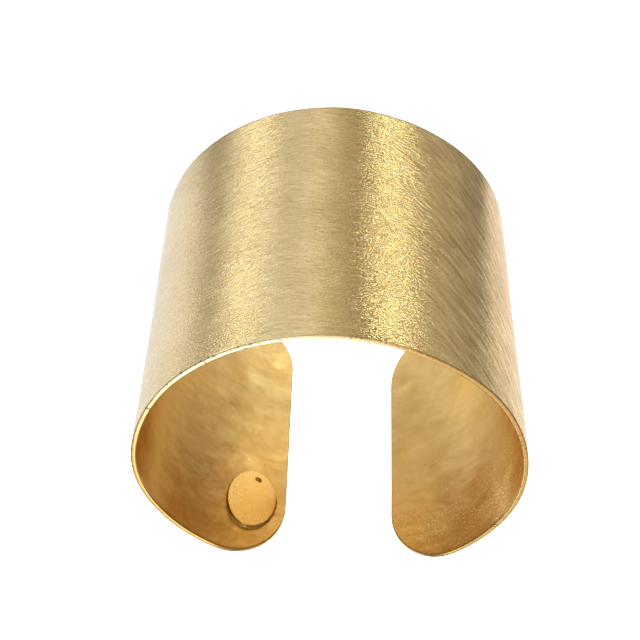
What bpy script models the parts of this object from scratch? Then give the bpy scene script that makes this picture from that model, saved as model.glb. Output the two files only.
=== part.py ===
"""Open cuff bracelet: one sheet of brass bent round the wrist, with an oval tag soldered inside one end.

The cuff lies on its side, on one rim. Its back is towards -Y and its opening towards +Y, a little off
the middle, because the sheet was closed by hand.
"""

import math

import bmesh
import bpy
import numpy as np
from mathutils import Matrix, Vector

# Driving dimensions, in metres and degrees

# The oval that the outer face follows: its width, its depth behind and before the widest line at -X, and
# how much nearer to the opening the widest line lies at +X
OVAL_WIDTH = 0.0640
BACK_DEPTH = 0.0285
FRONT_DEPTH = 0.0272
WIDEST_SHIFT = 0.0015

# The sheet: its height from rim to rim, its thickness and its eased arrises
BAND_HEIGHT = 0.0600
SHEET_THICKNESS = 0.0009
ARRIS_RADIUS = 0.0002

# The sheet's four corners before bending: two at the free -X end, two at the +X end that holds the tag
FREE_LOWER_RADIUS = 0.0160
FREE_UPPER_RADIUS = 0.0116
TAG_LOWER_RADIUS = 0.0116
TAG_UPPER_RADIUS = 0.0130

# How far the free end leans back at the lower rim, and how far along the sheet that lean dies out
FREE_END_LEAN = 0.0007
LEAN_REACH = 0.0300

# The opening between the two ends, and how far its middle lies off the middle of the back
OPENING_WIDTH = 0.0188
OPENING_OFFSET = -0.0055

# The oval tag inside the +X end, its distances from that end and from the upper rim, and its lean
TAG_WIDTH = 0.0089
TAG_LENGTH = 0.0130
TAG_THICKNESS = 0.0005
TAG_END_MARGIN = 0.0024
TAG_RIM_MARGIN = 0.0060
TAG_LEAN = 12.0
TAG_ARRIS = 0.0001

# The small round hole near the tag's lower tip, and the solder that shows round the tag
TAG_HOLE_DIAMETER = 0.0013
TAG_HOLE_MARGIN = 0.0012
SOLDER_WIDTH = 0.0005
SOLDER_RISE = 0.0002

# The looks of the brass: its colour, and its roughness where it is brushed and where it is polished
BRASS_COLOUR = (0.78, 0.57, 0.24, 1.0)
BRUSHED_ROUGHNESS = 0.32
POLISHED_ROUGHNESS = 0.18

# Fineness of the facets
SHEET_STEPS = 120
CORNER_STEPS = 16
ARRIS_STEPS = 2
TAG_SIDES = 48
HOLE_SIDES = 20
TABLE_STEPS = 4000
SMOOTH_ANGLE = 30.0

# Shares of the sheet's thickness by which the tag's underside and its solder sink into the sheet
UNDERSIDE_SINK = 0.3
SOLDER_SINK = 0.15

# Share of the solder's width and rise at which its hollow fillet turns
FILLET_SHARE = 1 / 3


def clear_objects():
    """Remove every object of the open file."""
    for item in list(bpy.data.objects):
        bpy.data.objects.remove(item, do_unlink=True)


def widest_line(angle):
    """Y of the widest line on the side of an angle, which is counted from the middle of the back."""
    return np.where(np.sin(angle) > 0.0, WIDEST_SHIFT, 0.0)


def quarter_depth(angle):
    """Depth of the quarter oval that holds an angle, from the widest line on its side."""
    shift = widest_line(angle)
    return np.where(np.cos(angle) > 0.0, BACK_DEPTH + shift, FRONT_DEPTH - shift)


def oval_point(angle):
    """X and Y of the outer face at an angle, with the widest line at -X on Y = 0."""
    return OVAL_WIDTH / 2 * np.sin(angle), widest_line(angle) - quarter_depth(angle) * np.cos(angle)


def oval_normal(angle):
    """Outward unit normal of the outer face at an angle."""
    along = float(quarter_depth(angle)) * math.sin(angle)
    return Vector((along, -OVAL_WIDTH / 2 * math.cos(angle), 0.0)).normalized()


def oval_radius(angle):
    """Radius of the outer face's bend at an angle."""
    depth = float(quarter_depth(angle))
    across = OVAL_WIDTH / 2
    return math.hypot(across * math.cos(angle), depth * math.sin(angle)) ** 3 / (across * depth)


class Sheet:
    """The developed length of the sheet, and where each run along it lies on the oval."""

    def __init__(self):
        first = -math.pi - math.asin((OPENING_OFFSET - OPENING_WIDTH / 2) / (OVAL_WIDTH / 2))
        last = math.pi - math.asin((OPENING_OFFSET + OPENING_WIDTH / 2) / (OVAL_WIDTH / 2))
        self.angles = np.linspace(first, last, TABLE_STEPS + 1)
        x, y = oval_point(self.angles)
        steps = np.hypot(np.diff(x), np.diff(y))
        self.runs = np.concatenate(([0.0], np.cumsum(steps)))
        self.length = float(self.runs[-1])
        self.centre = Vector(((x.min() + x.max()) / 2, (y.min() + y.max()) / 2, 0.0))

    def angle_at(self, run):
        """Angle on the oval at a run from the -X end."""
        return float(np.interp(run, self.runs, self.angles))

    def point_at(self, run, depth):
        """Point at a run, at a depth under the outer face, in plan, with the part's box centred on Z."""
        angle = self.angle_at(run)
        x, y = oval_point(angle)
        return Vector((float(x), float(y), 0.0)) - depth * oval_normal(angle) - self.centre


def station_runs(sheet):
    """Runs of the cross lines of the sheet, closer together in the rounded corners."""
    turns = [math.pi / 2 * step / CORNER_STEPS for step in range(CORNER_STEPS + 1)]
    free_radius = max(FREE_LOWER_RADIUS, FREE_UPPER_RADIUS)
    tag_radius = max(TAG_LOWER_RADIUS, TAG_UPPER_RADIUS)
    free_end = [free_radius * (1 - math.cos(turn)) for turn in turns]
    tag_end = [sheet.length - tag_radius * (1 - math.cos(turn)) for turn in reversed(turns)]
    straight = sheet.length - free_radius - tag_radius
    middle = [free_radius + straight * step / SHEET_STEPS for step in range(1, SHEET_STEPS)]
    return free_end + middle + tag_end


def corner_drop(sheet, run, free_radius, tag_radius):
    """How far the rounded corners of one rim take it in at a run."""
    if run < sheet.length / 2:
        radius = free_radius
        reach = radius - run
    else:
        radius = tag_radius
        reach = radius - (sheet.length - run)
    if reach <= 0.0:
        return 0.0
    return radius - math.sqrt(max(radius**2 - reach**2, 0.0))


def lean(run):
    """How far the lower end of a cross line is taken along the sheet, so that the free end leans."""
    return FREE_END_LEAN * max(1 - run / LEAN_REACH, 0.0)


def brass(name, roughness):
    """Yellow brass of a roughness."""
    material = bpy.data.materials.new(name)
    material.use_nodes = True
    shader = material.node_tree.nodes["Principled BSDF"]
    shader.inputs["Base Color"].default_value = BRASS_COLOUR
    shader.inputs["Metallic"].default_value = 1.0
    shader.inputs["Roughness"].default_value = roughness
    return material


def mesh_object(name, bm, material):
    """Object at the origin with the mesh in it, shaded smooth between its sharp edges."""
    bmesh.ops.recalc_face_normals(bm, faces=bm.faces)
    mesh = bpy.data.meshes.new(name)
    bm.to_mesh(mesh)
    bm.free()
    mesh.materials.append(material)
    mesh.shade_smooth()
    mesh.set_sharp_from_angle(angle=math.radians(SMOOTH_ANGLE))
    item = bpy.data.objects.new(name, mesh)
    bpy.context.scene.collection.objects.link(item)
    return item


def bridge(bm, first, second):
    """Band of quads between two closed rings of vertices."""
    for index in range(len(first)):
        after = (index + 1) % len(first)
        bm.faces.new((first[index], first[after], second[after], second[index]))


def band_blank(sheet, material):
    """The bent sheet with its rounded corners and eased arrises."""
    bm = bmesh.new()
    rings = []
    for run in station_runs(sheet):
        low_run = run + lean(run)
        lower_drop = corner_drop(sheet, run, FREE_LOWER_RADIUS, TAG_LOWER_RADIUS)
        upper_drop = corner_drop(sheet, run, FREE_UPPER_RADIUS, TAG_UPPER_RADIUS)
        low = Vector((0.0, 0.0, lower_drop))
        high = Vector((0.0, 0.0, BAND_HEIGHT - upper_drop))
        corners = (
            sheet.point_at(low_run, 0.0) + low,
            sheet.point_at(run, 0.0) + high,
            sheet.point_at(run, SHEET_THICKNESS) + high,
            sheet.point_at(low_run, SHEET_THICKNESS) + low,
        )
        rings.append([bm.verts.new(corner) for corner in corners])
    for first, second in zip(rings, rings[1:]):
        bridge(bm, first, second)
    bm.faces.new(rings[0])
    bm.faces.new(rings[-1])
    band = mesh_object("cuff_band", bm, material)
    arris = band.modifiers.new("eased_arrises", "BEVEL")
    arris.width = ARRIS_RADIUS
    arris.segments = ARRIS_STEPS
    arris.limit_method = "ANGLE"
    arris.angle_limit = math.radians(SMOOTH_ANGLE)
    return band


def tag_place(sheet):
    """Middle of the tag on the inner face: X along the sheet to its end, Z into the hollow."""
    run = sheet.length - TAG_END_MARGIN - TAG_WIDTH / 2
    outward = oval_normal(sheet.angle_at(run))
    across = Vector((-outward.y, outward.x, 0.0))
    down = Vector((0.0, 0.0, -1.0))
    middle = sheet.point_at(run, SHEET_THICKNESS)
    middle.z = BAND_HEIGHT - TAG_RIM_MARGIN - TAG_LENGTH / 2
    turn = Matrix((across, down, -outward)).transposed().to_4x4()
    return Matrix.Translation(middle) @ turn


def oval_ring(bm, outset, height_at, half_width):
    """Closed ring round the tag's leaning oval, at a height that may follow the bent sheet."""
    tilt = Matrix.Rotation(-math.radians(TAG_LEAN), 2)
    ring = []
    for side in range(TAG_SIDES):
        turn = 2 * math.pi * side / TAG_SIDES
        reach = Vector(((half_width + outset) * math.cos(turn), (TAG_LENGTH / 2 + outset) * math.sin(turn)))
        place = tilt @ reach
        ring.append(bm.verts.new((place.x, place.y, height_at(place.x))))
    return ring


def tag_blank(sheet, material):
    """Flat oval tag with the solder under it and round it, its underside sunk into the sheet."""
    run = sheet.length - TAG_END_MARGIN - TAG_WIDTH / 2
    bend = oval_radius(sheet.angle_at(run)) - SHEET_THICKNESS

    def sheet_height(across):
        """Height of the inner face over the plane that touches it in the tag's middle."""
        return bend - math.sqrt(bend**2 - across**2)

    def level(height):
        """Ring height that is the same all round."""
        return lambda across: height

    def solder_height(rise):
        """Ring height at a rise over the inner face."""
        return lambda across: sheet_height(across) + rise

    # The flat underside stays inside the bent sheet, so it is no wider than the sheet's wall allows
    sink = UNDERSIDE_SINK * SHEET_THICKNESS
    widest = math.sqrt(2 * bend * (SHEET_THICKNESS - 2 * sink))
    seat = sheet_height(TAG_WIDTH / 2)
    top = seat + TAG_THICKNESS
    half = TAG_WIDTH / 2
    bm = bmesh.new()
    rings = [
        oval_ring(bm, 0.0, level(-sink), min(half, widest)),
        oval_ring(bm, SOLDER_WIDTH, solder_height(-SOLDER_SINK * SHEET_THICKNESS), half),
        oval_ring(bm, FILLET_SHARE * SOLDER_WIDTH, solder_height(FILLET_SHARE * SOLDER_RISE), half),
        oval_ring(bm, 0.0, solder_height(SOLDER_RISE), half),
        oval_ring(bm, 0.0, level(top - TAG_ARRIS), half),
        oval_ring(bm, -TAG_ARRIS, level(top), half),
    ]
    for first, second in zip(rings, rings[1:]):
        bridge(bm, first, second)
    bm.faces.new(rings[0])
    bm.faces.new(rings[-1])
    tag = mesh_object("oval_tag", bm, material)
    tag.matrix_world = tag_place(sheet)
    return tag, seat, top


def tag_hole_cutter(sheet, material, seat, top):
    """Drill for the tag's hole, which stops on the solder under the tag."""
    bm = bmesh.new()
    depth = top - seat + TAG_THICKNESS
    bmesh.ops.create_cone(
        bm,
        cap_ends=True,
        segments=HOLE_SIDES,
        radius1=TAG_HOLE_DIAMETER / 2,
        radius2=TAG_HOLE_DIAMETER / 2,
        depth=depth,
    )
    drill = mesh_object("tag_hole_drill", bm, material)
    reach = TAG_LENGTH / 2 - TAG_HOLE_MARGIN - TAG_HOLE_DIAMETER / 2
    tilt = Matrix.Rotation(-math.radians(TAG_LEAN), 4, "Z")
    offset = Matrix.Translation((0.0, reach, seat + depth / 2))
    drill.matrix_world = tag_place(sheet) @ tilt @ offset
    return drill


def use_as_tool(target, tool, operation):
    """Join a tool object to the target, or cut it out of the target, and hide the tool."""
    step = target.modifiers.new(tool.name, "BOOLEAN")
    step.operation = operation
    step.solver = "EXACT"
    step.object = tool
    tool.hide_render = True
    tool.display_type = "WIRE"


def build():
    """The cuff as one solid."""
    clear_objects()
    sheet = Sheet()
    material = brass("brushed_brass", BRUSHED_ROUGHNESS)
    band = band_blank(sheet, material)
    tag, seat, top = tag_blank(sheet, brass("polished_brass", POLISHED_ROUGHNESS))
    drill = tag_hole_cutter(sheet, material, seat, top)
    use_as_tool(band, tag, "UNION")
    use_as_tool(band, drill, "DIFFERENCE")


build()
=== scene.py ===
"""Cuff bracelet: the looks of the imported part, in its own frame, in metres."""

import math

import bmesh
import bpy
import numpy as np
from mathutils import Euler, Matrix, Vector, noise


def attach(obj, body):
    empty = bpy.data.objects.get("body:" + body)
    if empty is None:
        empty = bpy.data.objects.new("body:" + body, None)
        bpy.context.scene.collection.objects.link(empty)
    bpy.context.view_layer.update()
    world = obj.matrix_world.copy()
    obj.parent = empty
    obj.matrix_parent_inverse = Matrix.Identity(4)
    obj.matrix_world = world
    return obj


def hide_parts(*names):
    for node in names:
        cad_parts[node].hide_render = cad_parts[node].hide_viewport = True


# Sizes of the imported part

OVAL_WIDTH = 0.0640
BACK_DEPTH = 0.0285
FRONT_DEPTH = 0.0272
WIDEST_SHIFT = 0.0015
BAND_HEIGHT = 0.0600
SHEET_THICKNESS = 0.0009
ARRIS_RADIUS = 0.0002
FREE_LOWER_RADIUS = 0.0160
FREE_UPPER_RADIUS = 0.0116
TAG_LOWER_RADIUS = 0.0116
TAG_UPPER_RADIUS = 0.0130
FREE_END_LEAN = 0.0007
LEAN_REACH = 0.0300
OPENING_WIDTH = 0.0188
OPENING_OFFSET = -0.0055
TAG_WIDTH = 0.0089
TAG_LENGTH = 0.0130
TAG_THICKNESS = 0.0005
TAG_END_MARGIN = 0.0024
TAG_RIM_MARGIN = 0.0060
TAG_LEAN = 12.0
TAG_ARRIS = 0.0001
TAG_HOLE_DIAMETER = 0.0013
TAG_HOLE_MARGIN = 0.0012
SOLDER_WIDTH = 0.0005
SOLDER_RISE = 0.0002

# Hidden feet of the tag and of its solder, which are sunk into the sheet

TAG_FOOT = 0.0002
SOLDER_FOOT = 0.00012

# Fillet of solder: its least height, its share of the foot's width, and its gain towards the sheet's end

SOLDER_LIP = 0.00001
FILLET_SHARE = 0.5
SOLDER_SPREAD = 0.5
SOLDER_FULLER = 0.00015

# Drill that makes the tag's hole, and the least angle of a sharp edge on the tag, in degrees

DRILL_LENGTH = 0.0010
SHARP_ANGLE = 35.0

# Fineness of the meshes

RUN_STEP = 0.00055
CORNER_STEPS = 20
ROWS = 96
ARRIS_STEPS = 4
FILLET_STEPS = 4
TAG_SIDES = 128
HOLE_SIDES = 32
GLOW_SIDES = 120
TABLE_STEPS = 4000

# The sheet's own waves: wavelength and height of each, and how far apart their noises are taken

WAVES = ((0.0240, 0.00016), (0.0085, 0.00007), (0.0036, 0.000012))
WAVE_SPACING = 7.3

# The one dent that shows inside the free end: run, height, radius and depth

DENT = (0.0028, 0.0165, 0.0010, 0.00024)

# Places of the materials in the sheet's list and in the tag's

OUTER_SLOT = 0
INNER_SLOT = 1
EDGE_SLOT = 2
TAG_SLOT = 0
SOLDER_SLOT = 1

# Curved sweeps of the brush: run of their crest and of one radian, their rise and slope, and how they wander

SWEEP_CREST = 0.078
SWEEP_RADIAN = 0.035
SWEEP_RISE = 0.0175
SWEEP_SLOPE = 0.25
WANDER_SIZE = (0.022, 0.022)
WANDER_RISE = 0.008

# Features of the brushed outside: size along and across the sheet, turn in degrees, and height of the bump

CLOUD_SIZE = (0.012, 0.009)
HAIR_SIZE = (0.0028, 0.00024)
HAIR_BUMP = 0.00005
STROKE_SIZE = (0.0090, 0.00065)
STROKE_BUMP = 0.00005
CROSS_SIZE = (0.0032, 0.00032)
CROSS_TURN = 27.0
CROSS_BUMP = 0.00004
STREAK_SIZE = (0.0060, 0.0010)
STREAK_TURN = -42.0
STREAK_BUMP = 0.00012
GRAIN_SIZE = (0.00040, 0.00036)
GRAIN_BUMP = 0.00010
PATCH_SIZE = (0.006, 0.009)
SPARKLE_SIZE = (0.00032, 0.00030)

# Features of the satin inside

BLOTCH_SIZE = (0.0065, 0.0060)
SPOT_SIZE = (0.0022, 0.0022)
# Size of the painted highlight patches
HIGHLIGHT_PATCH_SIZE = (0.0060, 0.0052)
WEAR_SIZE = (0.006, 0.006)
# Size and turn of the painted glint speckles
GLINT_SPECK_SIZE = (0.00046, 0.00038)
GLINT_SPECK_TURN = 30.0
HOLLOW_SIZE = (0.0050, 0.0042)
HOLLOW_BUMP = 0.00028
PIT_SIZE = (0.0016, 0.0014)
PIT_BUMP = 0.00003

# Features of the filed rim, the tag and its solder

MARK_SIZE = (0.0006, 0.0006)
MARK_BUMP = 0.000012
CHIP_SIZE = (0.00110, 0.00045)
CHIP_TURN = 20.0
TAG_CLOUD_SIZE = (0.0030, 0.0030)
SOLDER_CLOUD_SIZE = (0.0012, 0.0012)
CLOUD_BUMP = 0.00001

# Finish along the sheet, as stops of run from the free end and share: sanding, which also places painted
# glints where the highlight bands fall, and streaks outside

SANDED_AND_GLINTING = ((0.0, 0.5), (0.034, 0.25), (0.062, 0.2), (0.069, 0.8), (0.077, 1.0), (0.083, 0.3), (0.093, 0.25),
          (0.098, 0.6), (0.109, 0.75), (0.120, 0.3), (0.169, 0.4))
STREAKED = ((0.0, 0.4), (0.036, 1.0), (0.060, 1.0), (0.072, 0.1), (0.169, 0.1))

# The same inside: painted shade in the bends, painted highlight patches, wear with painted glints, and
# hammered hollows

SHADED_BEND_RUNS = ((0.0, 0.0), (0.016, 0.0), (0.025, 0.8), (0.045, 1.0), (0.056, 0.15), (0.118, 0.15), (0.130, 1.0),
        (0.142, 0.9), (0.157, 0.38), (0.163, 0.1))
HIGHLIGHT_PATCH_RUNS = ((0.148, 0.0), (0.160, 1.0))
WORN = ((0.0, 1.0), (0.020, 1.0), (0.032, 0.5), (0.040, 0.0))
HOLLOWED = ((0.0, 0.8), (0.020, 0.5), (0.140, 0.5), (0.156, 1.0), (0.169, 1.0))

# Heights on the sheet between which the sanding outside and the wear inside grow, both with painted glints,
# and the least sanding

SANDED_AND_GLINTING_HEIGHTS = (0.004, 0.018)
WORN_HEIGHTS = (0.044, 0.053)
LEAST_SANDING_AND_GLINT = 0.55

# Finish along the rim, as the same stops: struck nick marks, and a painted highlight

STRUCK = ((0.0, 0.0), (0.094, 0.0), (0.097, 0.09), (0.106, 0.09), (0.109, 0.0))
RIM_HIGHLIGHT_RUNS = ((0.0, 0.1), (0.070, 0.1), (0.088, 0.85), (0.108, 0.9), (0.118, 0.35), (0.130, 0.0))

# Colours: a dark and a light one for each finish, then single ones

BRUSHED_COLOURS = ((0.50, 0.34, 0.122), (0.96, 0.745, 0.39))
# Sanded grain in colour, whose light speckles are also painted glints
GRAIN_AND_GLINT_COLOURS = ((0.52, 0.30, 0.09), (1.0, 0.85, 0.47))
SATIN_COLOURS = ((0.72, 0.49, 0.18), (0.88, 0.66, 0.32))
# Painted shade for the bends inside
BEND_SHADE_COLOURS = ((0.41, 0.24, 0.075), (0.53, 0.33, 0.11))
FILED_COLOURS = ((0.48, 0.29, 0.09), (0.60, 0.39, 0.14))
# Painted highlight on the rim
RIM_HIGHLIGHT_COLOURS = ((0.92, 0.76, 0.46), (1.0, 0.88, 0.60))
TAG_COLOURS = ((0.82, 0.60, 0.24), (0.93, 0.73, 0.35))
# Solder's own duller tone, darkened further with painted shade round the tag
SOLDER_AND_SHADE_COLOURS = ((0.52, 0.30, 0.08), (0.70, 0.44, 0.14))
FLOOR_COLOURS = ((0.89, 0.89, 0.89), (0.91, 0.91, 0.91))
# Colour of the painted highlights and glints inside
PAINTED_HIGHLIGHT_COLOUR = (1.0, 0.82, 0.42)
WORN_COLOUR = (0.80, 0.50, 0.16)
# Painted shade in the nick marks
NICK_SHADE_COLOUR = (0.16, 0.10, 0.05)
SATIN_TINT = (1.0, 0.80, 0.50, 1.0)

# Least and greatest roughness of each finish, and the range that most of a noise lies in

BRUSHED_ROUGHNESS = (0.19, 0.30)
SATIN_ROUGHNESS = (0.26, 0.40)
FILED_ROUGHNESS = (0.16, 0.28)
TAG_ROUGHNESS = (0.20, 0.30)
SOLDER_ROUGHNESS = (0.24, 0.34)
NOISE_RANGE = (0.3, 0.7)

# Sockets of the Mix node that take and give colours

MIX_FIRST = 6
MIX_SECOND = 7
MIX_RESULT = 2

# Light that the floor throws up into the hollow: its level, gap to the sheet, reach in Y, and colours

GLOW_LEVEL = -0.001
GLOW_GAP = 0.0003
GLOW_REACH = (-0.02, 0.026)
GLOW_STOPS = ((0.0, (0.50, 0.42, 0.30)), (0.62, (0.60, 0.54, 0.45)), (0.82, (0.95, 0.90, 0.82)))

# Brighter pools in that light: middle in plan, radius of the core and of the edge, and colour

GLOWS = (
    ((-0.0055, -0.0085), 0.0025, 0.0075, (2.80, 2.20, 1.25)),
    ((-0.001, 0.018), 0.002, 0.005, (1.60, 1.35, 0.85)),
    ((-0.019, -0.014), 0.003, 0.008, (1.80, 1.35, 0.75)),
    ((0.021, -0.014), 0.004, 0.010, (1.30, 1.02, 0.62)),
)

# Soft panels: name, azimuth from +X to +Y and elevation in degrees, distance, width, height, radiance, colour

PANELS = (
    ("top_panel", -90.0, 88.0, 0.8, 0.5, 0.5, 1.6, (1.0, 1.0, 1.0)),
    ("rim_panel", 91.0, 48.0, 0.8, 0.16, 0.12, 3.8, (1.0, 1.0, 1.0)),
    ("rim_fill", 100.0, 45.0, 0.8, 0.55, 0.4, 0.8, (1.0, 0.86, 0.62)),
    ("strip_left", -30.5, -30.0, 1.0, 0.020, 1.6, 8.0, (0.98, 1.0, 0.86)),
    ("front_left", -44.5, -30.0, 1.2, 1.06, 1.8, 0.68, (0.80, 0.90, 1.14)),
    ("front_mid", -81.0, -30.0, 1.2, 0.40, 1.8, 0.28, (1.0, 0.90, 0.66)),
    ("strip_right", -116.5, -30.0, 1.0, 0.018, 1.6, 19.0, (0.98, 1.03, 0.87)),
    ("mid_right", -141.0, -30.0, 1.2, 0.60, 1.8, 0.20, (1.0, 0.95, 0.85)),
    ("wall_left", 44.0, -20.0, 1.2, 2.2, 1.8, 0.94, (0.78, 0.86, 1.05)),
    ("wall_right", 128.0, -20.0, 1.2, 1.8, 1.8, 0.85, (1.0, 0.92, 0.90)),
)

# Daylight on the floor, its width in degrees, and the world's strength and tint as the cuff mirrors it

DAYLIGHT_STRENGTH = 8.0
DAYLIGHT_ANGLE = 20.0
WORLD_STRENGTH = 0.36
WORLD_TINT = (1.0, 0.94, 0.80, 1.0)
WHITE = (1.0, 1.0, 1.0, 1.0)

# Half the floor's width

FLOOR_REACH = 4.0

# Camera: place, turn in degrees, lens and sensor in millimetres, nearest and farthest that it sees

CAMERA_PLACE = (0.026252, -0.174120, 0.221378)
CAMERA_TURN = (-41.9663, 1.3317, -170.7628)
CAMERA_LENS = 83.39
CAMERA_SENSOR = 36.0
CAMERA_NEAR = 0.01
CAMERA_FAR = 20.0


def widest_line(angle):
    """Y of the widest line on the side of an angle, which is counted from the middle of the back."""
    return np.where(np.sin(angle) > 0.0, WIDEST_SHIFT, 0.0)


def quarter_depth(angle):
    """Depth of the quarter oval that holds an angle, from the widest line on its side."""
    shift = widest_line(angle)
    return np.where(np.cos(angle) > 0.0, BACK_DEPTH + shift, FRONT_DEPTH - shift)


class Sheet:
    """The developed sheet: runs along it, and the oval that it follows."""

    def __init__(self):
        first = -math.pi - math.asin((OPENING_OFFSET - OPENING_WIDTH / 2) / (OVAL_WIDTH / 2))
        last = math.pi - math.asin((OPENING_OFFSET + OPENING_WIDTH / 2) / (OVAL_WIDTH / 2))
        self.angles = np.linspace(first, last, TABLE_STEPS + 1)
        x, y = self.oval(self.angles)
        self.runs = np.concatenate(([0.0], np.cumsum(np.hypot(np.diff(x), np.diff(y)))))
        self.length = float(self.runs[-1])
        self.centre = np.array(((x.min() + x.max()) / 2, (y.min() + y.max()) / 2))

    def oval(self, angle):
        """X and Y of the outer face at an angle."""
        return OVAL_WIDTH / 2 * np.sin(angle), widest_line(angle) - quarter_depth(angle) * np.cos(angle)

    def normal(self, angle):
        """Outward unit normals of the outer face at some angles, in plan."""
        across = np.stack((quarter_depth(angle) * np.sin(angle), -OVAL_WIDTH / 2 * np.cos(angle)), -1)
        return across / np.linalg.norm(across, axis=-1, keepdims=True)

    def bend(self, run, depth, height):
        """Points in the part's frame for arrays of runs, depths under the outer face, and heights."""
        angle = np.interp(run, self.runs, self.angles)
        plan = np.stack(self.oval(angle), -1) - self.centre
        plan = plan - np.asarray(depth)[..., None] * self.normal(angle)
        return np.concatenate((plan, np.asarray(height)[..., None]), -1)


def linked(name, data):
    """Object that holds a mesh, a light or a camera, in the scene."""
    item = bpy.data.objects.new(name, data)
    bpy.context.scene.collection.objects.link(item)
    return item


def wave(run, height):
    """How far the hand-worked sheet stands out of its true oval at each point."""
    total = np.zeros(len(run))
    for number, (length, rise) in enumerate(WAVES):
        for index in range(len(run)):
            place = Vector((run[index] / length, height[index] / length, WAVE_SPACING * number))
            total[index] += rise * noise.noise(place)
    dent_run, dent_height, dent_radius, dent_depth = DENT
    away = np.hypot(run - dent_run, height - dent_height) / dent_radius
    return total + dent_depth * np.exp(-away**2)


def corner_radius(run, height, length):
    """Radius of the corner in the sheet's quarter that holds each point."""
    lower = np.where(run < length / 2, FREE_LOWER_RADIUS, TAG_LOWER_RADIUS)
    upper = np.where(run < length / 2, FREE_UPPER_RADIUS, TAG_UPPER_RADIUS)
    return np.where(height < BAND_HEIGHT / 2, lower, upper)


def corner_drop(run, height, length):
    """How far the corners take the rim at each run in, on the side of a height and short of the arris."""
    corner = corner_radius(run, height, length)
    radius = corner - ARRIS_RADIUS
    reach = np.clip(corner - np.minimum(run, length - run), 0.0, radius)
    return corner - np.sqrt(radius**2 - reach**2)


def outward(run, height, length):
    """Unit directions out of the flat sheet's rounded outline."""
    corner = corner_radius(run, height, length)
    core_run = np.clip(run, corner, length - corner)
    core_height = np.clip(height, corner, BAND_HEIGHT - corner)
    way = np.stack((run - core_run, height - core_height), -1)
    return way / np.linalg.norm(way, axis=-1, keepdims=True)


def lean(run, height):
    """How far each point is taken along the sheet, so that the free end leans back at the lower rim."""
    fading = np.clip(1.0 - run / LEAN_REACH, 0.0, 1.0)
    return FREE_END_LEAN * fading * (1.0 - height / BAND_HEIGHT)


def stations(length):
    """Runs of the grid's columns, even along the sheet and closer together round the corners."""
    turns = np.linspace(0.0, math.pi / 2, CORNER_STEPS + 1)
    free = max(FREE_LOWER_RADIUS, FREE_UPPER_RADIUS)
    held = max(TAG_LOWER_RADIUS, TAG_UPPER_RADIUS)
    free_end = free - (free - ARRIS_RADIUS) * np.cos(turns)
    tag_end = held - (held - ARRIS_RADIUS) * np.cos(turns)
    steps = round((length - free - held) / RUN_STEP)
    middle = np.linspace(free, length - held, steps + 1)[1:-1]
    return np.concatenate((free_end, middle, length - tag_end[::-1]))


def edge_profile():
    """Steps out and down round the rolled edge, from the outer face to the inner one."""
    turns = np.linspace(0.0, math.pi / 2, ARRIS_STEPS + 1)[1:]
    outer = [(ARRIS_RADIUS * math.sin(turn), ARRIS_RADIUS * (1 - math.cos(turn))) for turn in turns]
    inner = [(out, SHEET_THICKNESS - depth) for out, depth in reversed(outer)]
    return outer + [(ARRIS_RADIUS, SHEET_THICKNESS / 2)] + inner


def sheet_faces(index, rings, base):
    """Quads of the outer face, the inner one and the edge, and the place of each quad's material."""
    faces = []
    slots = []
    columns, rows = index.shape
    for i in range(columns - 1):
        for j in range(rows - 1):
            a, b, c, d = index[i, j], index[i + 1, j], index[i + 1, j + 1], index[i, j + 1]
            faces.append((a, b, c, d))
            slots.append(OUTER_SLOT)
            faces.append((base + d, base + c, base + b, base + a))
            slots.append(INNER_SLOT)
    for above, below in zip(rings, rings[1:]):
        for side in range(len(above)):
            after = (side + 1) % len(above)
            faces.append((above[side], below[side], below[after], above[after]))
            slots.append(EDGE_SLOT)
    return [[int(corner) for corner in face] for face in faces], slots


def sheet_object(sheet, materials):
    """The bent sheet with rolled arrises: a grid on each face, and rings round the edge between them."""
    columns = stations(sheet.length)
    low = corner_drop(columns, 0.0, sheet.length)
    high = BAND_HEIGHT - corner_drop(columns, BAND_HEIGHT, sheet.length)
    share = np.linspace(0.0, 1.0, ROWS + 1)
    height = (low[:, None] + (high - low)[:, None] * share[None, :]).ravel()
    run = np.repeat(columns, ROWS + 1)
    index = np.arange(len(run)).reshape(len(columns), ROWS + 1)
    loop = np.concatenate((index[:, 0], index[-1, 1:], index[-2::-1, -1], index[0, -2:0:-1]))
    way = outward(run[loop], height[loop], sheet.length)

    runs = [run]
    heights = [height]
    depths = [np.zeros(len(run))]
    rings = [loop]
    base = len(run)
    for out, depth in edge_profile():
        runs.append(run[loop] + out * way[:, 0])
        heights.append(height[loop] + out * way[:, 1])
        depths.append(np.full(len(loop), depth))
        rings.append(np.arange(base, base + len(loop)))
        base += len(loop)
    runs.append(run)
    heights.append(height)
    depths.append(np.full(len(run), SHEET_THICKNESS))
    rings.append(base + loop)

    all_runs = np.concatenate(runs)
    all_heights = np.concatenate(heights)
    all_runs = all_runs + lean(all_runs, all_heights)
    all_depths = np.concatenate(depths) - wave(all_runs, all_heights)
    points = sheet.bend(all_runs, all_depths, all_heights)
    faces, slots = sheet_faces(index, rings, base)

    mesh = bpy.data.meshes.new("cuff_sheet")
    mesh.from_pydata(points.tolist(), [], faces)
    for material in materials:
        mesh.materials.append(material)
    mesh.polygons.foreach_set("material_index", slots)
    corners = np.empty(len(mesh.loops), np.int32)
    mesh.loops.foreach_get("vertex_index", corners)
    layer = mesh.uv_layers.new(name="sheet")
    flat = np.stack((all_runs, all_heights), -1)[corners]
    layer.data.foreach_set("uv", flat.astype(np.float32).ravel())
    mesh.shade_smooth()
    mesh.update()
    return linked("cuff_sheet", mesh)


def tag_middle(sheet):
    """Run and angle of the tag's middle."""
    run = sheet.length - TAG_END_MARGIN - TAG_WIDTH / 2
    return run, float(np.interp(run, sheet.runs, sheet.angles))


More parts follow.
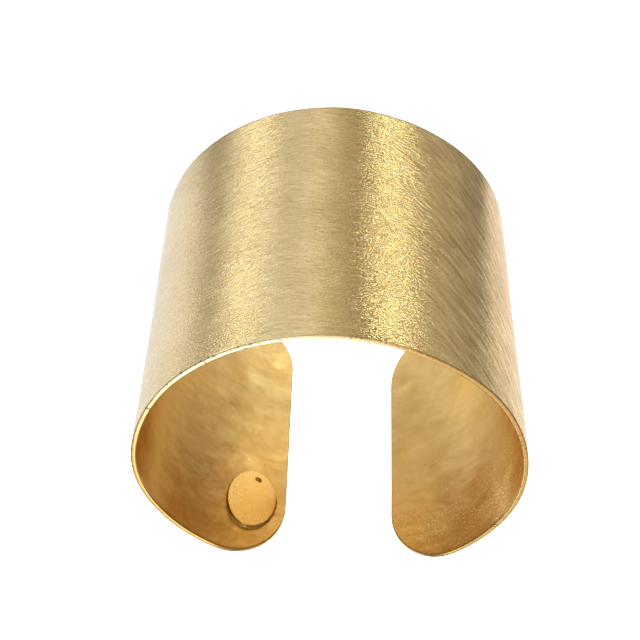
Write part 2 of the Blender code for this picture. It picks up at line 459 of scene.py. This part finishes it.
def tag_place(sheet):
    """Middle of the tag on the inner face: X along the sheet to its end, Z into the hollow."""
    run, angle = tag_middle(sheet)
    outward_way = Vector((*sheet.normal(np.array(angle)), 0.0))
    across = Vector((-outward_way.y, outward_way.x, 0.0))
    down = Vector((0.0, 0.0, -1.0))
    z = BAND_HEIGHT - TAG_RIM_MARGIN - TAG_LENGTH / 2
    middle = Vector(sheet.bend(np.array(run), np.array(SHEET_THICKNESS), np.array(z)))
    turn = Matrix((across, down, -outward_way)).transposed().to_4x4()
    return Matrix.Translation(middle) @ turn


def seat_radius(sheet):
    """Radius of the bent inner face, in plan, where the tag sits."""
    angle = tag_middle(sheet)[1]
    depth = float(quarter_depth(np.array(angle)))
    across = OVAL_WIDTH / 2
    outer = math.hypot(across * math.cos(angle), depth * math.sin(angle)) ** 3 / (across * depth)
    return outer - SHEET_THICKNESS


def seat_rise(radius, distance):
    """Height of the inner face over the plane that touches it in the tag's middle."""
    return radius - math.sqrt(radius**2 - distance**2)


def oval_point(turn, out):
    """Point of the leaning oval at a turn round it, moved out by a distance."""
    tilt = Matrix.Rotation(-math.radians(TAG_LEAN), 2)
    return tilt @ Vector(((TAG_WIDTH / 2 + out) * math.cos(turn), (TAG_LENGTH / 2 + out) * math.sin(turn)))


def flat_ring(bm, outset, level):
    """Ring of vertices round the oval, at one level."""
    ring = []
    for side in range(TAG_SIDES):
        place = oval_point(2 * math.pi * side / TAG_SIDES, outset)
        ring.append(bm.verts.new((place.x, place.y, level)))
    return ring


def solder_ring(bm, radius, outset, level, fuller=0.0):
    """Ring that follows the bent sheet, wider towards the sheet's end and higher there where it is fuller."""
    ring = []
    for side in range(TAG_SIDES):
        turn = 2 * math.pi * side / TAG_SIDES
        more = max(math.cos(turn), 0.0)
        place = oval_point(turn, outset * (1 + SOLDER_SPREAD * more))
        ring.append(bm.verts.new((place.x, place.y, level + fuller * more + seat_rise(radius, place.x))))
    return ring


def tag_mesh(radius, materials):
    """The tag and its solder as one closed mesh, on the plane that touches the inner face."""
    bm = bmesh.new()
    top = seat_rise(radius, TAG_WIDTH / 2) + TAG_THICKNESS
    rings = [flat_ring(bm, 0.0, -TAG_FOOT), solder_ring(bm, radius, SOLDER_WIDTH, -SOLDER_FOOT)]
    for step in range(FILLET_STEPS + 1):
        share = step / FILLET_STEPS
        out = SOLDER_WIDTH * (1 - share) * FILLET_SHARE
        level = SOLDER_RISE * share**2 + SOLDER_LIP
        rings.append(solder_ring(bm, radius, out, level, SOLDER_FULLER * share**2))
    rings.append(flat_ring(bm, 0.0, top - TAG_ARRIS))
    soldered = len(rings) - 1
    for step in range(1, ARRIS_STEPS + 1):
        turn = math.pi / 2 * step / ARRIS_STEPS
        rings.append(flat_ring(bm, -TAG_ARRIS * (1 - math.cos(turn)), top - TAG_ARRIS * (1 - math.sin(turn))))
    rings.append(flat_ring(bm, -2 * TAG_ARRIS, top))
    for number, (first, second) in enumerate(zip(rings, rings[1:])):
        for side in range(TAG_SIDES):
            after = (side + 1) % TAG_SIDES
            face = bm.faces.new((first[side], first[after], second[after], second[side]))
            face.material_index = SOLDER_SLOT if number < soldered else TAG_SLOT
    bm.faces.new(rings[0][::-1])
    bm.faces.new(rings[-1])
    bmesh.ops.recalc_face_normals(bm, faces=bm.faces)
    mesh = bpy.data.meshes.new("oval_tag")
    bm.to_mesh(mesh)
    bm.free()
    for material in materials:
        mesh.materials.append(material)
    return mesh


def hole_drill(seat):
    """Round bar that drills the tag's hole down to its seat."""
    bm = bmesh.new()
    bmesh.ops.create_cone(bm, cap_ends=True, segments=HOLE_SIDES, radius1=TAG_HOLE_DIAMETER / 2,
                          radius2=TAG_HOLE_DIAMETER / 2, depth=DRILL_LENGTH)
    mesh = bpy.data.meshes.new("tag_hole_drill")
    bm.to_mesh(mesh)
    bm.free()
    drill = linked("tag_hole_drill", mesh)
    reach = TAG_LENGTH / 2 - TAG_HOLE_MARGIN - TAG_HOLE_DIAMETER / 2
    tilt = Matrix.Rotation(-math.radians(TAG_LEAN), 4, "Z")
    drill.matrix_world = tilt @ Matrix.Translation((0.0, reach, seat + DRILL_LENGTH / 2))
    return drill


def tag_object(sheet, materials):
    """The oval tag with its solder, sunk a little into the sheet, and its drilled hole."""
    radius = seat_radius(sheet)
    item = linked("oval_tag", tag_mesh(radius, materials))
    drill = hole_drill(seat_rise(radius, TAG_WIDTH / 2))
    drilling = item.modifiers.new("hole", "BOOLEAN")
    drilling.operation = "DIFFERENCE"
    drilling.solver = "EXACT"
    drilling.object = drill
    bpy.context.view_layer.update()
    drilled = bpy.data.meshes.new_from_object(item.evaluated_get(bpy.context.evaluated_depsgraph_get()))
    item.modifiers.clear()
    item.data = drilled
    bpy.data.objects.remove(drill, do_unlink=True)
    drilled.transform(tag_place(sheet))
    drilled.shade_smooth()
    drilled.set_sharp_from_angle(angle=math.radians(SHARP_ANGLE))
    return item


class Nodes:
    """Short ways to add nodes and links to one material."""

    def __init__(self, name):
        self.material = bpy.data.materials.new(name)
        self.material.use_nodes = True
        self.tree = self.material.node_tree
        self.shader = self.tree.nodes["Principled BSDF"]

    def add(self, kind, **settings):
        """Node of a kind with some of its own settings."""
        node = self.tree.nodes.new(kind)
        for name, value in settings.items():
            setattr(node, name, value)
        return node

    def link(self, source, target):
        """Join two sockets."""
        self.tree.links.new(source, target)

    def place(self):
        """Coordinates in the part's frame."""
        return self.add("ShaderNodeTexCoord").outputs["Object"]

    def stretched(self, vector, scale, angle=0.0):
        """A vector turned by an angle in degrees, then scaled."""
        mapping = self.add("ShaderNodeMapping", vector_type="TEXTURE")
        mapping.inputs["Rotation"].default_value = (0.0, 0.0, math.radians(angle))
        mapping.inputs["Scale"].default_value = (scale[0], scale[1], scale[0])
        self.link(vector, mapping.inputs["Vector"])
        return mapping.outputs["Vector"]

    def uv(self, scale, angle=0.0):
        """Sheet coordinates turned by an angle in degrees, then scaled."""
        source = self.add("ShaderNodeUVMap", uv_map="sheet")
        return self.stretched(source.outputs["UV"], scale, angle)

    def split(self):
        """Run along the sheet, and height on it."""
        source = self.add("ShaderNodeUVMap", uv_map="sheet")
        parts = self.add("ShaderNodeSeparateXYZ")
        self.link(source.outputs["UV"], parts.inputs["Vector"])
        return parts.outputs["X"], parts.outputs["Y"]

    def swept(self):
        """Sheet coordinates in which the curved sweeps of the brush lie level."""
        run, height = self.split()
        phase = self.math("DIVIDE", self.math("SUBTRACT", run, SWEEP_CREST), SWEEP_RADIAN)
        sway = self.math("MULTIPLY", self.math("COSINE", phase), SWEEP_RISE)
        level = self.math("ADD", self.math("ADD", height, self.math("MULTIPLY", run, SWEEP_SLOPE)), sway)
        wander = self.math("MULTIPLY", self.noise(self.uv(WANDER_SIZE), 1.0), WANDER_RISE)
        join = self.add("ShaderNodeCombineXYZ")
        self.link(run, join.inputs["X"])
        self.link(self.math("ADD", level, wander), join.inputs["Y"])
        return join.outputs["Vector"]

    def along(self, length, stops):
        """A value that follows the run, from stops of run in metres and value."""
        run = self.split()[0]
        shades = [(place / length, (value, value, value)) for place, value in stops]
        return self.ramp(self.math("DIVIDE", run, length), shades)

    def mix(self, share, first, second):
        """Colour between two colours."""
        node = self.add("ShaderNodeMix", data_type="RGBA")
        self.link(share, node.inputs["Factor"])
        for socket, value in ((node.inputs[MIX_FIRST], first), (node.inputs[MIX_SECOND], second)):
            if isinstance(value, tuple):
                socket.default_value = (*value, 1.0)
            else:
                self.link(value, socket)
        return node.outputs[MIX_RESULT]

    def noise(self, vector, detail=3.0, roughness=0.5):
        """Noise of one feature for each unit of a vector."""
        node = self.add("ShaderNodeTexNoise")
        node.inputs["Scale"].default_value = 1.0
        node.inputs["Detail"].default_value = detail
        node.inputs["Roughness"].default_value = roughness
        self.link(vector, node.inputs["Vector"])
        return node.outputs["Fac"]

    def remap(self, value, low, high, new_low, new_high):
        """A value taken from one range to another, and held in it."""
        node = self.add("ShaderNodeMapRange")
        node.inputs["From Min"].default_value = low
        node.inputs["From Max"].default_value = high
        node.inputs["To Min"].default_value = new_low
        node.inputs["To Max"].default_value = new_high
        self.link(value, node.inputs["Value"])
        return node.outputs["Result"]

    def math(self, operation, first, second=0.0):
        """Two values, or a value and a number, taken together."""
        node = self.add("ShaderNodeMath", operation=operation)
        for socket, value in zip(node.inputs, (first, second)):
            if isinstance(value, (int, float)):
                socket.default_value = value
            else:
                self.link(value, socket)
        return node.outputs["Value"]

    def ramp(self, value, stops):
        """Colours along a value."""
        node = self.add("ShaderNodeValToRGB")
        elements = node.color_ramp.elements
        while len(elements) < len(stops):
            elements.new(0.5)
        for element, (place, colour) in zip(elements, stops):
            element.position = place
            element.color = (*colour, 1.0)
        self.link(value, node.inputs["Fac"])
        return node.outputs["Color"]

    def shade(self, value, low, high, colours):
        """Colours from the dark one of two at a low value to the light one at a high value."""
        return self.ramp(value, ((low, colours[0]), (high, colours[1])))

    def bump(self, height, distance, before=None):
        """Bump of a height in metres, over the bump before it."""
        node = self.add("ShaderNodeBump")
        node.inputs["Distance"].default_value = distance
        self.link(height, node.inputs["Height"])
        if before is not None:
            self.link(before, node.inputs["Normal"])
        return node.outputs["Normal"]


def outer_brass(length):
    """Brass brushed by hand with an abrasive pad."""
    n = Nodes("brushed_brass")
    shader = n.shader
    shader.inputs["Metallic"].default_value = 1.0
    shader.inputs["Anisotropic"].default_value = 0.5
    shader.inputs["Anisotropic Rotation"].default_value = 0.25
    tangent = n.add("ShaderNodeTangent", direction_type="UV_MAP", uv_map="sheet")
    n.link(tangent.outputs["Tangent"], shader.inputs["Tangent"])

    swept = n.swept()
    cloud = n.noise(n.uv(CLOUD_SIZE), 4.0)
    hair = n.noise(n.stretched(swept, HAIR_SIZE), 2.0, 0.6)
    strokes = n.noise(n.stretched(swept, STROKE_SIZE), 3.0, 0.6)
    cross = n.noise(n.stretched(swept, CROSS_SIZE, CROSS_TURN), 2.0, 0.6)
    streaks = n.noise(n.uv(STREAK_SIZE, STREAK_TURN), 3.0, 0.55)
    grain = n.noise(n.uv(GRAIN_SIZE), 1.0, 0.6)
    fine = n.noise(n.uv(SPARKLE_SIZE), 1.0)

    # Mask of sanding, highest where the highlight bands fall: it sets the grain bump, and the painted glints
    # in the colour
    patches = n.remap(n.noise(n.uv(PATCH_SIZE)), 0.38, 0.62, 0.70, 1.0)
    sanding_and_glint = n.math("MULTIPLY", n.along(length, SANDED_AND_GLINTING), patches)
    sanding_and_glint = n.math("MULTIPLY", sanding_and_glint, n.remap(n.split()[1], *SANDED_AND_GLINTING_HEIGHTS, LEAST_SANDING_AND_GLINT, 1.0))
    swirl = n.along(length, STREAKED)

    tone = n.math("MULTIPLY", n.remap(streaks, *NOISE_RANGE, -0.35, 0.35), swirl)
    for value, share in ((hair, 0.34), (strokes, 0.24), (cross, 0.18), (grain, 0.12), (cloud, 0.12)):
        tone = n.math("ADD", tone, n.remap(value, 0.28, 0.72, 0.0, share))
    colour = n.shade(tone, 0.15, 0.85, BRUSHED_COLOURS)
    # Fine grain in the colour: real sanded grain, and painted glints where the highlight bands fall
    grain_and_glint = n.shade(fine, 0.42, 0.60, GRAIN_AND_GLINT_COLOURS)
    grain_and_glint_share = n.math("MULTIPLY", n.remap(sanding_and_glint, 0.25, 0.85, 0.0, 1.0), 0.60)
    n.link(n.mix(grain_and_glint_share, colour, grain_and_glint), shader.inputs["Base Color"])
    rough = n.remap(n.math("ADD", strokes, cross), 0.7, 1.3, *BRUSHED_ROUGHNESS)
    n.link(rough, shader.inputs["Roughness"])
    normal = n.bump(hair, HAIR_BUMP)
    normal = n.bump(strokes, STROKE_BUMP, normal)
    normal = n.bump(cross, CROSS_BUMP, normal)
    normal = n.bump(n.math("MULTIPLY", streaks, swirl), STREAK_BUMP, normal)
    normal = n.bump(n.math("MULTIPLY", grain, sanding_and_glint), GRAIN_BUMP, normal)
    n.link(normal, shader.inputs["Normal"])
    return n.material


def inner_brass(length):
    """Brass left satin inside, softly blotched, with painted shade in the bends, painted highlight patches
    towards the tag's end, and a worn tone with painted glints in speckles at the -X end.
    """
    n = Nodes("satin_brass")
    shader = n.shader
    shader.inputs["Metallic"].default_value = 1.0
    shader.inputs["Specular Tint"].default_value = SATIN_TINT
    cloud = n.noise(n.uv(BLOTCH_SIZE), 4.0, 0.55)
    spots = n.noise(n.uv(SPOT_SIZE), 2.0)
    tone = n.math("ADD", n.remap(cloud, *NOISE_RANGE, 0.0, 0.75), n.remap(spots, *NOISE_RANGE, 0.0, 0.25))
    bright = n.shade(tone, 0.15, 0.85, SATIN_COLOURS)
    # Painted shade: a darker copy of the satin colours for the bends
    dark = n.shade(tone, 0.15, 0.85, BEND_SHADE_COLOURS)

    # Painted highlight patches towards the tag's end
    painted_highlight = n.remap(n.noise(n.uv(HIGHLIGHT_PATCH_SIZE)), 0.47, 0.68, 0.0, 1.0)
    painted_highlight = n.math("MULTIPLY", painted_highlight, n.along(length, HIGHLIGHT_PATCH_RUNS))
    bright = n.mix(painted_highlight, bright, PAINTED_HIGHLIGHT_COLOUR)
    worn = n.math("MULTIPLY", n.along(length, WORN), n.remap(n.split()[1], *WORN_HEIGHTS, 0.0, 1.0))
    worn = n.math("MULTIPLY", worn, n.remap(n.noise(n.uv(WEAR_SIZE), 2.0), 0.36, 0.52, 0.0, 1.0))
    # Painted glints: bright speckles in the worn area
    glint_specks = n.remap(n.noise(n.uv(GLINT_SPECK_SIZE, GLINT_SPECK_TURN), 1.0), 0.54, 0.62, 0.0, 1.0)
    # Painted shade laid over the bends
    plain = n.mix(n.along(length, SHADED_BEND_RUNS), bright, dark)
    plain = n.mix(n.math("MULTIPLY", worn, 0.5), plain, WORN_COLOUR)
    n.link(n.mix(n.math("MULTIPLY", glint_specks, worn), plain, PAINTED_HIGHLIGHT_COLOUR), shader.inputs["Base Color"])
    n.link(n.remap(cloud, *NOISE_RANGE, *SATIN_ROUGHNESS), shader.inputs["Roughness"])

    hollowed = n.along(length, HOLLOWED)
    hollows = n.noise(n.uv(HOLLOW_SIZE), 2.0)
    pits = n.noise(n.uv(PIT_SIZE), 1.0)
    normal = n.bump(n.math("MULTIPLY", hollows, hollowed), HOLLOW_BUMP)
    normal = n.bump(n.math("MULTIPLY", pits, hollowed), PIT_BUMP, normal)
    n.link(normal, shader.inputs["Normal"])
    return n.material


def rim_brass(length):
    """Filed edge of the sheet, brightest over the back's +X side with a painted highlight, and with painted
    shade in a few nick marks.
    """
    n = Nodes("filed_brass")
    shader = n.shader
    shader.inputs["Metallic"].default_value = 1.0
    place = n.place()
    marks = n.noise(n.stretched(place, MARK_SIZE), 3.0, 0.6)
    chips = n.noise(n.stretched(place, CHIP_SIZE, CHIP_TURN), 1.0)
    chips = n.math("ADD", chips, n.along(length, STRUCK))
    # Painted shade in the nick marks on the rim
    nick_shade = n.remap(chips, 0.69, 0.73, 0.0, 1.0)
    filed = n.shade(marks, *NOISE_RANGE, FILED_COLOURS)
    # Painted highlight along the rim over the back's +X side
    rim_highlight = n.shade(marks, *NOISE_RANGE, RIM_HIGHLIGHT_COLOURS)
    bare = n.mix(n.along(length, RIM_HIGHLIGHT_RUNS), filed, rim_highlight)
    n.link(n.mix(nick_shade, bare, NICK_SHADE_COLOUR), shader.inputs["Base Color"])
    n.link(n.remap(marks, *NOISE_RANGE, *FILED_ROUGHNESS), shader.inputs["Roughness"])
    n.link(n.bump(marks, MARK_BUMP), shader.inputs["Normal"])
    return n.material


def clouded_brass(name, size, colours, roughness):
    """Brass with soft clouds of a size, between two colours and two roughnesses."""
    n = Nodes(name)
    shader = n.shader
    shader.inputs["Metallic"].default_value = 1.0
    cloud = n.noise(n.stretched(n.place(), size), 2.0)
    n.link(n.shade(cloud, *NOISE_RANGE, colours), shader.inputs["Base Color"])
    n.link(n.remap(cloud, *NOISE_RANGE, *roughness), shader.inputs["Roughness"])
    n.link(n.bump(cloud, CLOUD_BUMP), shader.inputs["Normal"])
    return n.material


def tag_brass():
    """Polished tag, a little worn and clouded."""
    return clouded_brass("polished_brass", TAG_CLOUD_SIZE, TAG_COLOURS, TAG_ROUGHNESS)


def solder_brass():
    """Solder and edge round the tag, duller than its face, and darkened with painted shade."""
    return clouded_brass("soldered_brass", SOLDER_CLOUD_SIZE, SOLDER_AND_SHADE_COLOURS, SOLDER_ROUGHNESS)


def floor_object():
    """Plain pale floor."""
    n = Nodes("pale_floor")
    cloud = n.noise(n.place(), 2.0)
    n.link(n.shade(cloud, *NOISE_RANGE, FLOOR_COLOURS), n.shader.inputs["Base Color"])
    n.shader.inputs["Roughness"].default_value = 0.9
    n.shader.inputs["Specular IOR Level"].default_value = 0.1
    corners = [(-FLOOR_REACH, -FLOOR_REACH, 0), (FLOOR_REACH, -FLOOR_REACH, 0)]
    corners += [(FLOOR_REACH, FLOOR_REACH, 0), (-FLOOR_REACH, FLOOR_REACH, 0)]
    mesh = bpy.data.meshes.new("floor")
    mesh.from_pydata(corners, [], [(0, 1, 2, 3)])
    mesh.materials.append(n.material)
    item = linked("floor", mesh)
    item.visible_glossy = False
    item.visible_shadow = False
    return item


def hollow_glow(sheet):
    """Light that the pale floor in the hollow throws up, more of it towards the opening."""
    n = Nodes("hollow_glow")
    place = n.place()
    split = n.add("ShaderNodeSeparateXYZ")
    n.link(place, split.inputs["Vector"])
    colour = n.ramp(n.remap(split.outputs["Y"], *GLOW_REACH, 0.0, 1.0), GLOW_STOPS)
    for middle, core, edge, shade in GLOWS:
        reach = n.add("ShaderNodeVectorMath", operation="DISTANCE")
        n.link(place, reach.inputs[0])
        reach.inputs[1].default_value = (*middle, GLOW_LEVEL)
        colour = n.mix(n.remap(reach.outputs["Value"], core, edge, 1.0, 0.0), colour, shade)
    emission = n.add("ShaderNodeEmission")
    n.link(colour, emission.inputs["Color"])
    n.link(emission.outputs["Emission"], n.tree.nodes["Material Output"].inputs["Surface"])
    runs = np.linspace(0.0, sheet.length, GLOW_SIDES + 1)
    depths = np.full(len(runs), SHEET_THICKNESS + GLOW_GAP)
    points = sheet.bend(runs, depths, np.full(len(runs), GLOW_LEVEL))
    mesh = bpy.data.meshes.new("hollow_glow")
    mesh.from_pydata(points.tolist(), [], [list(range(len(runs)))])
    mesh.materials.append(n.material)
    item = linked("hollow_glow", mesh)
    item.visible_camera = False
    item.visible_diffuse = False
    item.visible_shadow = False
    return item


def panel(name, azimuth, elevation, distance, width, height, radiance, colour):
    """Soft rectangular light that faces the cuff and that the camera doesn't see."""
    light = bpy.data.lights.new(name, "AREA")
    light.shape = "RECTANGLE"
    light.size = width
    light.size_y = height
    light.energy = radiance * math.pi * width * height
    light.color = colour
    item = linked(name, light)
    a = math.radians(azimuth)
    e = math.radians(elevation)
    way = Vector((math.cos(a) * math.cos(e), math.sin(a) * math.cos(e), math.sin(e)))
    item.location = way * distance + Vector((0.0, 0.0, BAND_HEIGHT / 2))
    item.rotation_mode = "QUATERNION"
    item.rotation_quaternion = way.to_track_quat("Z", "Y")
    item.visible_camera = False
    return item


def lit_only(lamps, pieces):
    """Let some lamps light only some pieces."""
    collection = bpy.data.collections.new("lit_by_" + lamps[0].name)
    for piece in pieces:
        collection.objects.link(piece)
    for lamp in lamps:
        lamp.light_linking.receiver_collection = collection


def lights(cuff, floor):
    """Light tent: soft daylight that lights only the floor, and soft panels that light only the cuff."""
    daylight = bpy.data.lights.new("daylight", "SUN")
    daylight.energy = DAYLIGHT_STRENGTH
    daylight.angle = math.radians(DAYLIGHT_ANGLE)
    lit_only((linked("daylight", daylight),), (floor,))
    lit_only([panel(*row) for row in PANELS], cuff)


def studio():
    """White world for the camera, and a dimmer, warmer one for the cuff."""
    world = bpy.data.worlds.new("studio")
    world.use_nodes = True
    tree = world.node_tree
    background = tree.nodes["Background"]
    path = tree.nodes.new("ShaderNodeLightPath")
    tint = tree.nodes.new("ShaderNodeMix")
    tint.data_type = "RGBA"
    tree.links.new(path.outputs["Is Glossy Ray"], tint.inputs["Factor"])
    tint.inputs[MIX_FIRST].default_value = WHITE
    tint.inputs[MIX_SECOND].default_value = WORLD_TINT
    tree.links.new(tint.outputs[MIX_RESULT], background.inputs["Color"])
    strength = tree.nodes.new("ShaderNodeMapRange")
    tree.links.new(path.outputs["Is Camera Ray"], strength.inputs["Value"])
    strength.inputs["To Min"].default_value = WORLD_STRENGTH
    strength.inputs["To Max"].default_value = 1.0
    tree.links.new(strength.outputs["Result"], background.inputs["Strength"])
    bpy.context.scene.world = world


def camera():
    """Camera at the photograph's angle."""
    data = bpy.data.cameras.new("camera")
    data.lens = CAMERA_LENS
    data.sensor_width = CAMERA_SENSOR
    data.clip_start = CAMERA_NEAR
    data.clip_end = CAMERA_FAR
    item = linked("camera", data)
    item.location = CAMERA_PLACE
    item.rotation_euler = Euler([math.radians(turn) for turn in CAMERA_TURN])
    bpy.context.scene.camera = item


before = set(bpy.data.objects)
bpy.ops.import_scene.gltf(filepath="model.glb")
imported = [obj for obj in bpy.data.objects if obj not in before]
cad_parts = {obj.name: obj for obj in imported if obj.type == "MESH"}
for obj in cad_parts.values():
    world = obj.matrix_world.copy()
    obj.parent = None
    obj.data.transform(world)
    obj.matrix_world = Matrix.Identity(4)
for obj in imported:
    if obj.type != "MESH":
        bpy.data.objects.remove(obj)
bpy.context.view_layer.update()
sheet = Sheet()
band = sheet_object(sheet, (outer_brass(sheet.length), inner_brass(sheet.length), rim_brass(sheet.length)))
tag = tag_object(sheet, (tag_brass(), solder_brass()))
for piece in (band, tag):
    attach(piece, "root")
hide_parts("cuff_band")
floor = floor_object()
hollow_glow(sheet)
lights((band, tag), floor)
studio()
camera()
scene = bpy.context.scene
scene.view_settings.view_transform = "Standard"
scene.view_settings.look = "None"
